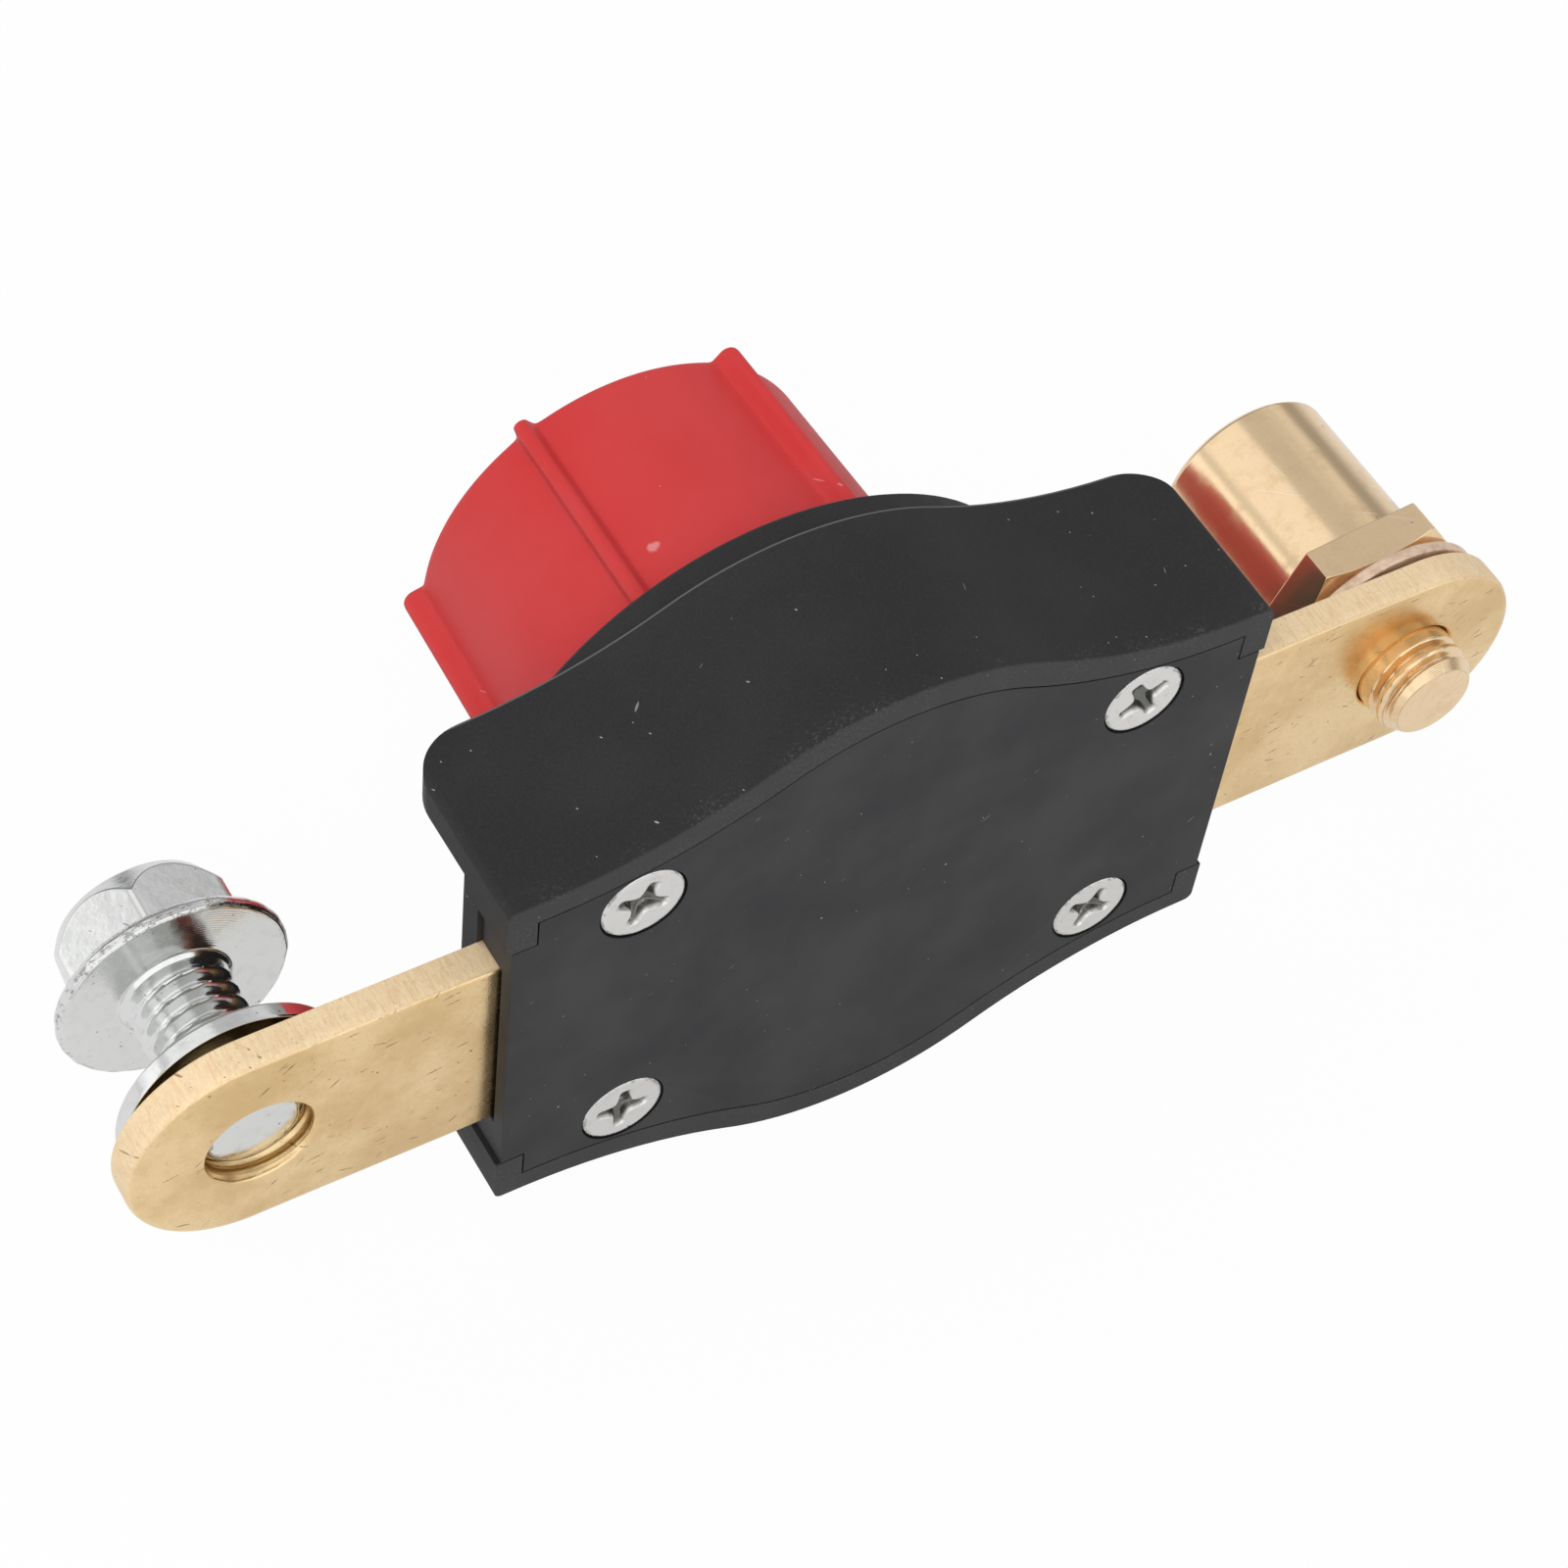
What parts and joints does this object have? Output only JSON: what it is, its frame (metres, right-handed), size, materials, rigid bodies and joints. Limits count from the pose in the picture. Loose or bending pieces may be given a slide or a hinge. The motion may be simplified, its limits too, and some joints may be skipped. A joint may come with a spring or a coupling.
{
  "type": "battery disconnect switch",
  "caption": "Rotary battery disconnect switch: a ribbed red knob on a waisted black housing, with flat brass bars that carry a terminal bolt and a threaded cable post.",
  "frame": {"origin": "where the knob's axis meets the cover's outer face", "axes": "+X along the bars towards the cable post, +Y along the knob's axis towards the knob, +Z across the housing, upwards on a battery's side"},
  "size_m": [0.1387, 0.0514, 0.0586],
  "materials": {
    "shell_plastic": "fine moulded texture",
    "cover_plastic": "matte, lightly rubbed",
    "red_plastic": "soft satin",
    "white_plastic": "satin",
    "bar_brass": "rolled and sheared, fine scratches",
    "post_brass": "turned bright",
    "bronze": "plain pressed strip",
    "zinc_steel": "bright zinc plated",
    "nickel_steel": "bright nickel plated",
    "spring_steel": "plain",
    "seal_rubber": "smooth"
  },
  "bodies": {
    "housing": {"housing_shell": "shell_plastic", "bottom_cover": "cover_plastic", "cover_screws": "nickel_steel", "bolt_bar": "bar_brass", "post_bar": "bar_brass", "flat_washer": "zinc_steel", "cable_post": "post_brass", "spring_washer": "bronze"},
    "switch": {"knob": "red_plastic", "knob_screw": "nickel_steel", "knob_screw_washer": "spring_steel", "rotor": "white_plastic", "shaft_seal": "seal_rubber", "thrust_washer": "white_plastic", "contact_bridge": "bronze", "contact_spring": "spring_steel", "detent_balls": "spring_steel", "detent_springs": "spring_steel", "stop_pin": "spring_steel"},
    "bolt": {"terminal_bolt": "zinc_steel"}
  },
  "joints": [
    {"name": "knob_turn", "type": "hinge", "parent": "housing", "child": "switch", "pos_m": [0, 0, 0], "axis": [0, 1, 0], "range_deg": [0, 90]},
    {"name": "bolt_travel", "type": "slide", "parent": "housing", "child": "bolt", "axis": [0, 1, 0], "range_m": [-0.009, 0.0017]}
  ]
}
